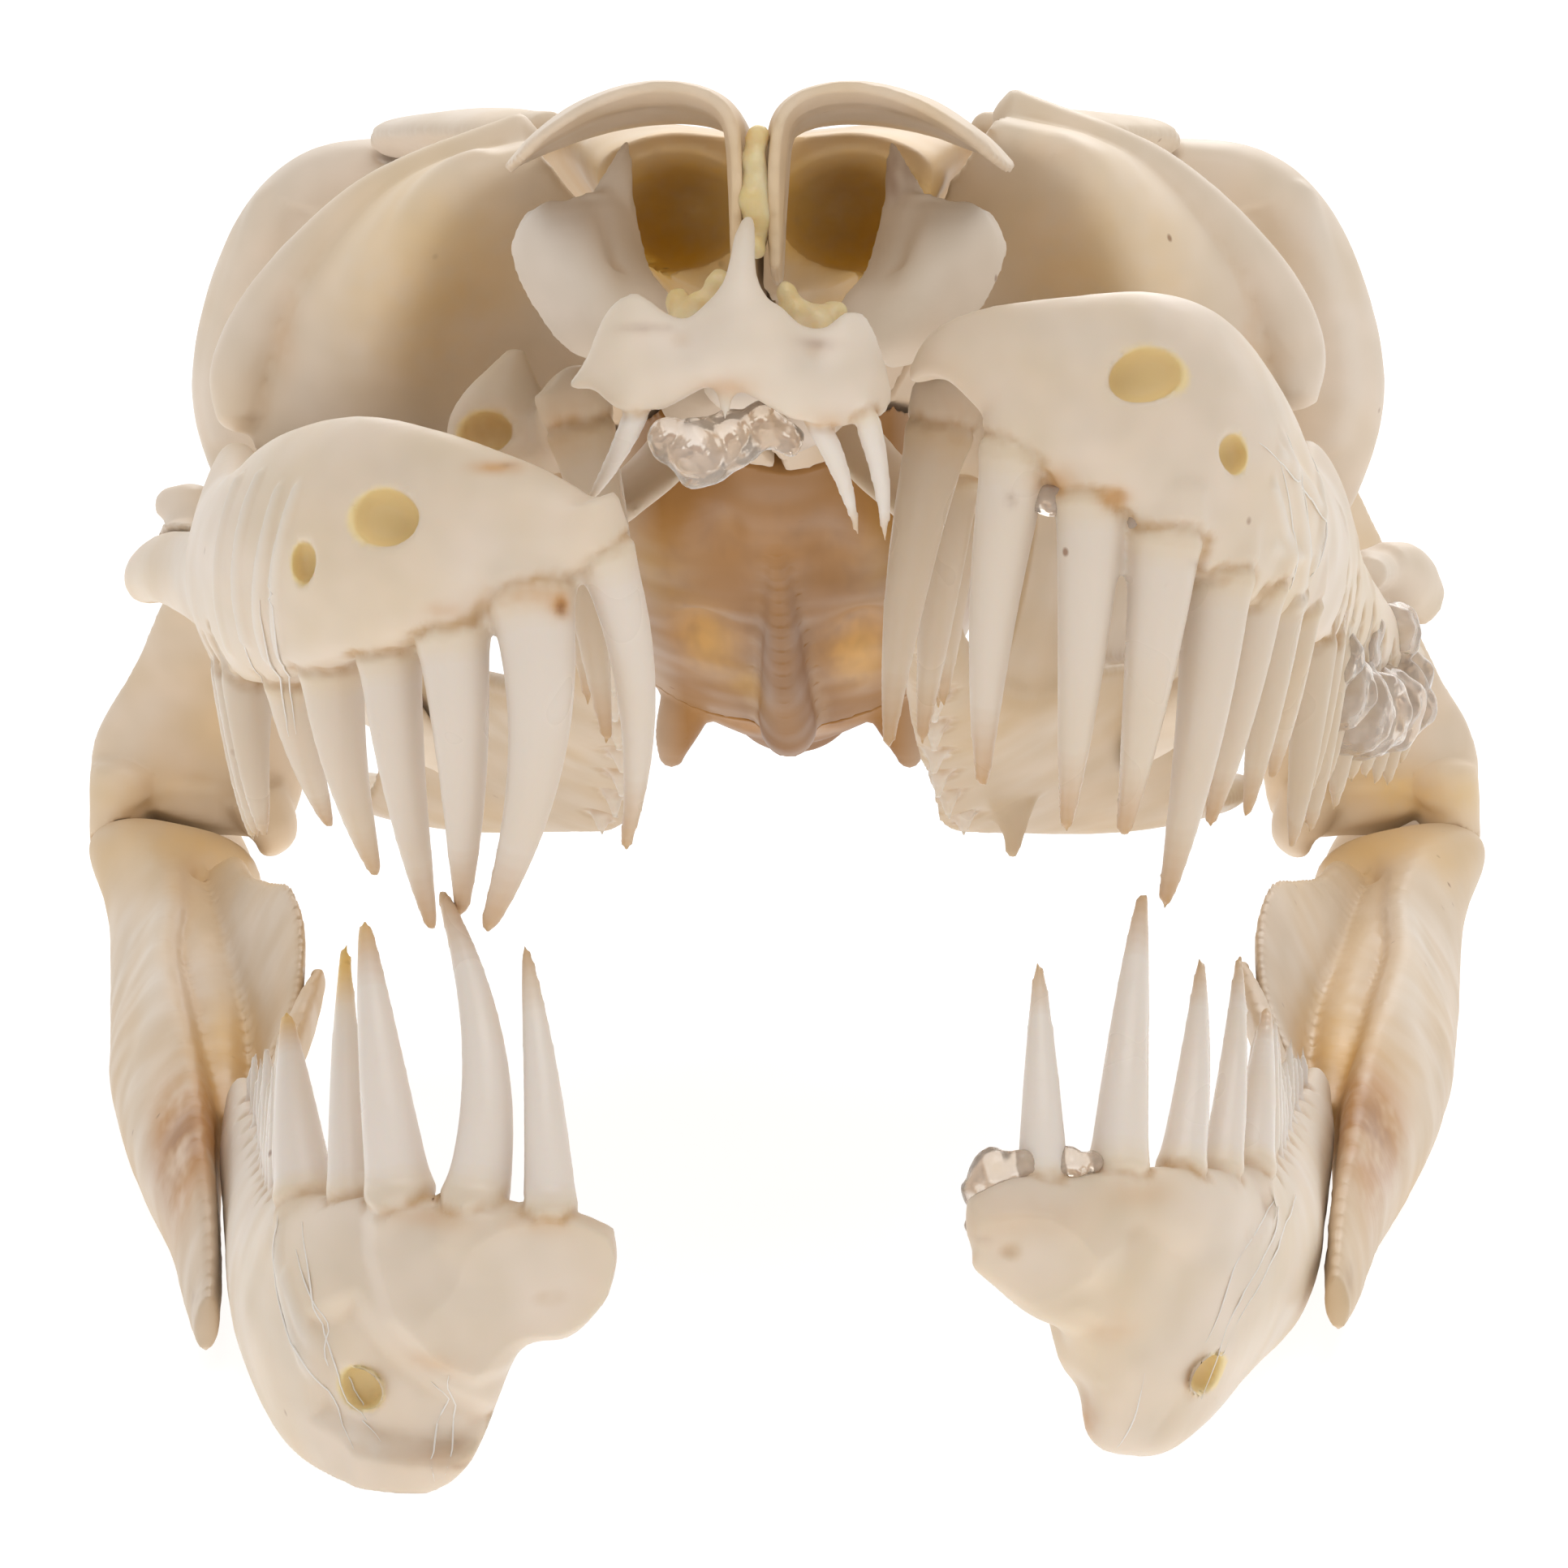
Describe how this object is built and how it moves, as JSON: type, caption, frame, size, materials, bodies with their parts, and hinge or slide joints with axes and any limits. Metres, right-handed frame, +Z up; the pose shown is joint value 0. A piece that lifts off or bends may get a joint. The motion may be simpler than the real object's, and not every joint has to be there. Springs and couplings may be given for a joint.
{
  "type": "python skull",
  "caption": "Life-size skull of a large python, jaws agape, with recurved teeth, for display on a table or shelf.",
  "frame": {"origin": "on the floor, under the middle of the skull's bounding box", "axes": "+Z up, the snout towards -Y, the back of the skull towards +Y, the animal's left side at +X"},
  "size_m": [0.0703, 0.124, 0.0519],
  "materials": {
    "toothed_bone": "satin ivory bone, slightly translucent, teeth paler and glossier",
    "roof_bone": "satin cream bone, thin and warm where light comes through",
    "deep_bone": "satin amber bone, stained orange-brown in the hollows"
  },
  "bodies": {
    "root": {"angular_l": "roof_bone", "angular_r": "roof_bone", "basioccipital": "deep_bone", "compound_l": "roof_bone", "compound_r": "roof_bone", "coronoid_l": "roof_bone", "coronoid_r": "roof_bone", "dentary_l": "toothed_bone", "dentary_r": "toothed_bone", "ectopterygoid_l": "roof_bone", "ectopterygoid_r": "roof_bone", "exoccipital_l": "roof_bone", "exoccipital_r": "roof_bone", "frontal_l": "roof_bone", "frontal_r": "roof_bone", "maxilla_l": "toothed_bone", "maxilla_r": "toothed_bone", "nasal_l": "roof_bone", "nasal_r": "roof_bone", "palatine_l": "toothed_bone", "palatine_r": "toothed_bone", "parabasisphenoid": "deep_bone", "parietal": "roof_bone", "postorbital_l": "roof_bone", "postorbital_r": "roof_bone", "prefrontal_l": "roof_bone", "prefrontal_r": "roof_bone", "premaxilla": "toothed_bone", "prootic_l": "roof_bone", "prootic_r": "roof_bone", "pterygoid_l": "toothed_bone", "pterygoid_r": "toothed_bone", "quadrate_l": "roof_bone", "quadrate_r": "roof_bone", "septomaxilla_l": "deep_bone", "septomaxilla_r": "deep_bone", "splenial_l": "roof_bone", "splenial_r": "roof_bone", "supraoccipital": "roof_bone", "supraorbital_l": "roof_bone", "supraorbital_r": "roof_bone", "supratemporal_l": "roof_bone", "supratemporal_r": "roof_bone", "vomer_l": "deep_bone", "vomer_r": "deep_bone"}
  },
  "joints": []
}
